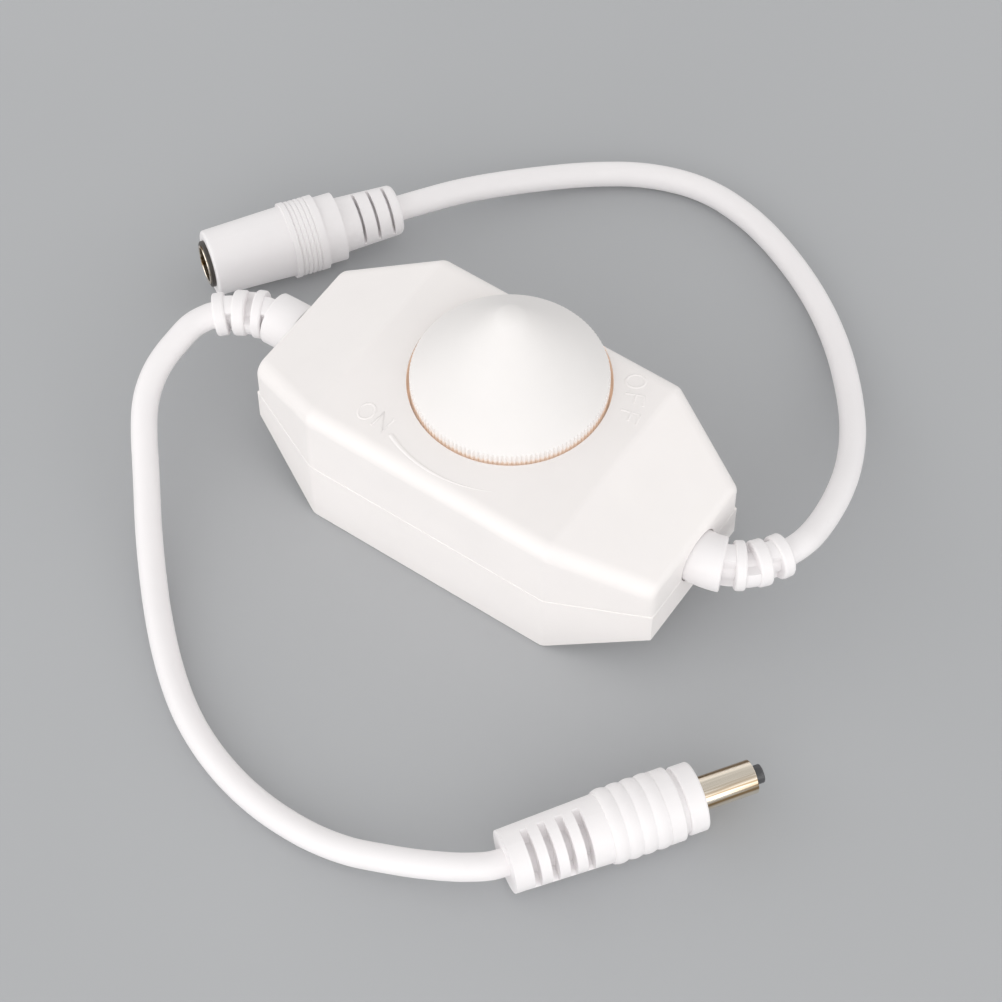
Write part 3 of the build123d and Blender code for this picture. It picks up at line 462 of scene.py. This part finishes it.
# Raised marks on the top face: places round the knob in millimetres and degrees
MARK_SINK = 0.72
LETTER_HEIGHT = 3.2
LETTER_STROKE = 0.34
RING_STEPS = 28
RING_HALF_WIDTH = 0.4
RING_HALF_HEIGHT = 0.5
ON_TILT = -5.0
ON_LETTERS = (("O", (-15.5, -13.5)), ("N", (-12.1, -13.8)))
OFF_RADIUS = 20.4
OFF_LETTERS = (("O", 33.5), ("F", 23.5), ("F", 13.5))
ARC_RADIUS = 21.9
ARC_START = -116.0
ARC_SWEEP = 54.0
ARC_STROKE = 0.65
ARC_TAPER = 0.85
ARC_STEPS = 40


def raised_mark(name, lines, radius):
    """Rounded strokes sunk in the top face; each point has x, y and its share of the radius."""
    data = bpy.data.curves.new(name, "CURVE")
    data.dimensions = "3D"
    data.bevel_depth = radius * MM
    data.bevel_resolution = 4
    data.use_fill_caps = True
    for points, closed in lines:
        spline = data.splines.new("POLY")
        spline.points.add(len(points) - 1)
        spline.use_cyclic_u = closed
        for point, (x, y, share) in zip(spline.points, points):
            point.co = (x * MM, y * MM, (TOP_Z - MARK_SINK * radius * share) * MM, 1.0)
            point.radius = share
    piece = bpy.data.objects.new(name, data)
    bpy.context.collection.objects.link(piece)
    data.materials.append(housing_material)
    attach(piece, "housing")


def letter_lines(letter, place, tilt):
    """Strokes of one capital letter at a place on the top face, turned by the tilt."""
    ring = []
    for step in range(RING_STEPS):
        angle = 2 * pi * step / RING_STEPS
        ring.append((RING_HALF_WIDTH * cos(angle), RING_HALF_HEIGHT * sin(angle)))
    stem_and_top = [(-0.28, -0.5), (-0.28, 0.5), (0.36, 0.5)]
    shapes = {
        "O": [(ring, True)],
        "N": [([(-0.34, -0.5), (-0.34, 0.5), (0.34, -0.5), (0.34, 0.5)], False)],
        "F": [(stem_and_top, False), ([(-0.28, 0.04), (0.24, 0.04)], False)],
    }
    along = Vector((cos(radians(tilt)), sin(radians(tilt)))) * LETTER_HEIGHT
    upward = Vector((-along.y, along.x))
    lines = []
    for points, closed in shapes[letter]:
        placed = [Vector(place) + along * x + upward * y for x, y in points]
        lines.append(([(p.x, p.y, 1.0) for p in placed], closed))
    return lines


def round_knob(radius, angle):
    """Place on the top face at a distance and angle from the knob's axis."""
    return (radius * cos(radians(angle)), KNOB_Y + radius * sin(radians(angle)))


on_lines = []
for letter, place in ON_LETTERS:
    on_lines += letter_lines(letter, place, ON_TILT)
off_lines = []
for letter, angle in OFF_LETTERS:
    off_lines += letter_lines(letter, round_knob(OFF_RADIUS, angle), angle - 90.0)
raised_mark("mark_on", on_lines, LETTER_STROKE)
raised_mark("mark_off", off_lines, LETTER_STROKE)

# Tapered arc from ON towards OFF, in front of the knob
arc_points = []
for step in range(ARC_STEPS + 1):
    share = step / ARC_STEPS
    x, y = round_knob(ARC_RADIUS, ARC_START + ARC_SWEEP * share)
    arc_points.append((x, y, 1.0 - ARC_TAPER * share))
raised_mark("mark_arc", [(arc_points, False)], ARC_STROKE)

# Floor and light. Each lamp has a name, a place, a size, a power in watts and a colour.
FLOOR_HALF = 3.0
FLOOR_CORNERS = ((-1, -1), (1, -1), (1, 1), (-1, 1))
FLOOR_TONES = ((0.44, 0.45, 0.462), (0.46, 0.47, 0.482))
FLOOR_MOTTLE_SCALE = 6.0
FLOOR_ROUGHNESS = 0.75
SKY_LOW = (1.48, 1.47, 1.46)
SKY_MIDDLE = (1.46, 1.45, 1.445)
SKY_HIGH = (0.66, 0.658, 0.656)
SKY_FRONT = (0.3, -0.954, 0.0)
SKY_FRONT_LEVEL = 1.27
SKY_BEHIND_LEVEL = 0.66
LAMP_WHITE = (1.0, 0.99, 0.98)
LAMPS = (
    ("front", (0.1, -1.0, 0.3), 0.5, 0.6, LAMP_WHITE),
    ("left", (-0.9, -0.45, 0.4), 0.6, 0.5, LAMP_WHITE),
    ("right", (0.95, -0.1, 0.4), 0.6, 0.4, LAMP_WHITE),
)


def make_floor():
    """Pale floor under the part."""
    mesh = bpy.data.meshes.new("floor")
    corners = [(x * FLOOR_HALF, y * FLOOR_HALF, 0) for x, y in FLOOR_CORNERS]
    mesh.from_pydata(corners, [], [(0, 1, 2, 3)])
    floor = bpy.data.objects.new("floor", mesh)
    bpy.context.collection.objects.link(floor)
    material, tree, shader, place = new_material("floor_paper")
    cloud = noise(tree, place, FLOOR_MOTTLE_SCALE)
    tone = ramp(tree, cloud, [(0.3, FLOOR_TONES[0]), (0.7, FLOOR_TONES[1])])
    tree.links.new(tone, shader.inputs["Base Color"])
    shader.inputs["Roughness"].default_value = FLOOR_ROUGHNESS
    mesh.materials.append(material)


def make_light():
    """Soft sky, brighter low down and in front, and three weak soft lamps."""
    world = bpy.data.worlds.new("soft_sky")
    world.use_nodes = True
    sky = world.node_tree
    background = sky.nodes["Background"]
    direction = sky.nodes.new("ShaderNodeTexCoord")
    parts = sky.nodes.new("ShaderNodeSeparateXYZ")
    sky.links.new(direction.outputs["Generated"], parts.inputs["Vector"])
    tone = ramp(sky, parts.outputs["Z"], [(0.0, SKY_LOW), (0.3, SKY_MIDDLE), (0.9, SKY_HIGH)])
    sky.links.new(tone, background.inputs["Color"])
    forward = sky.nodes.new("ShaderNodeVectorMath")
    forward.operation = "DOT_PRODUCT"
    sky.links.new(direction.outputs["Generated"], forward.inputs[0])
    forward.inputs[1].default_value = SKY_FRONT
    level = sky.nodes.new("ShaderNodeMapRange")
    level.inputs["From Min"].default_value = -1.0
    level.inputs["To Min"].default_value = SKY_BEHIND_LEVEL
    level.inputs["To Max"].default_value = SKY_FRONT_LEVEL
    sky.links.new(forward.outputs["Value"], level.inputs["Value"])
    sky.links.new(level.outputs["Result"], background.inputs["Strength"])
    bpy.context.scene.world = world
    for name, place, size, power, colour in LAMPS:
        data = bpy.data.lights.new(name, "AREA")
        data.shape = "SQUARE"
        data.size = size
        data.energy = power
        data.color = colour
        lamp = bpy.data.objects.new(name, data)
        bpy.context.collection.objects.link(lamp)
        lamp.location = place
        lamp.rotation_euler = (-Vector(place)).to_track_quat("-Z", "Y").to_euler()


make_floor()
make_light()
bpy.context.scene.view_settings.view_transform = "Standard"
